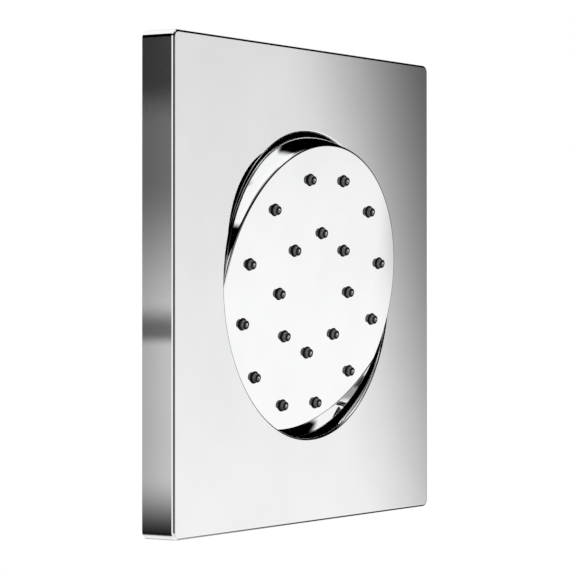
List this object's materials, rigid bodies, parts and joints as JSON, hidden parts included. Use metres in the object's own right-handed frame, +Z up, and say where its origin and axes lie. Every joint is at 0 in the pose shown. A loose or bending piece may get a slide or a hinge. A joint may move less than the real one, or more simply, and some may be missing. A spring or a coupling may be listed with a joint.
{
  "type": "shower head",
  "caption": "Flush square wall-mounted shower head: a chrome cover plate with a round spray disc of soft nozzles that swivels on a water-bored ball joint.",
  "frame": {"origin": "on the inlet's axis in the wall plane, at the back face of the mounting plate", "axes": "+Z up, +Y into the wall along the inlet, front of the plate towards -Y, +X to the right seen from the front"},
  "size_m": [0.127, 0.0508, 0.127],
  "materials": {
    "plate_chrome": "mirror chrome plating",
    "face_chrome": "mirror chrome plating",
    "nozzle_rubber": "soft dark silicone",
    "gasket_foam": "closed-cell foam",
    "bracket_steel": "stamped stainless sheet",
    "set_screw_steel": "stainless",
    "cup_plastic": "moulded black plastic",
    "cup_screw_steel": "stainless",
    "stem_chrome": "polished chrome plating",
    "washer_rubber": "moulded rubber",
    "nipple_brass": "turned brass",
    "locknut_brass": "turned brass",
    "limiter_plastic": "moulded plastic",
    "seal_rubber": "moulded rubber",
    "filter_steel": "stainless gauze",
    "ring_plastic": "bearing plastic",
    "jet_plastic": "moulded plastic",
    "shell_plastic": "moulded black plastic",
    "head_screw_steel": "stainless",
    "nut_brass": "turned brass"
  },
  "bodies": {
    "wall_unit": {"cover_plate": "plate_chrome", "wall_gasket": "gasket_foam", "mounting_plate": "bracket_steel", "cover_screws": "set_screw_steel", "rear_cup": "cup_plastic", "cup_screws": "cup_screw_steel", "ball_stem": "stem_chrome", "stem_washer": "washer_rubber", "inlet_nipple": "nipple_brass", "nipple_washer": "washer_rubber", "lock_nut": "locknut_brass", "flow_limiter": "limiter_plastic", "limiter_seal": "seal_rubber", "inlet_filter": "filter_steel"},
    "pan_carrier": {"pan_ring": "ring_plastic"},
    "tilt_carrier": {"tilt_ring": "ring_plastic", "ball_seal": "seal_rubber"},
    "spray_head": {"spray_face": "face_chrome", "nozzle_mat": "nozzle_rubber", "jet_plate": "jet_plastic", "back_shell": "shell_plastic", "head_seal": "seal_rubber", "head_screws": "head_screw_steel", "socket_nut": "nut_brass"}
  },
  "joints": [
    {"name": "head_pan", "type": "hinge", "parent": "wall_unit", "child": "pan_carrier", "pos_m": [0, 0.00155, 0], "axis": [0, 0, 1], "range_deg": [-9.72, 14.28]},
    {"name": "head_tilt", "type": "hinge", "parent": "pan_carrier", "child": "tilt_carrier", "pos_m": [0, 0.00155, 0], "axis": [0.9992, -0.0398, 0], "range_deg": [-21.25, 2.75]},
    {"name": "head_spin", "type": "hinge", "parent": "tilt_carrier", "child": "spray_head", "pos_m": [0, 0.00155, 0], "axis": [0.0393, 0.9862, 0.1607], "continuous": true}
  ]
}
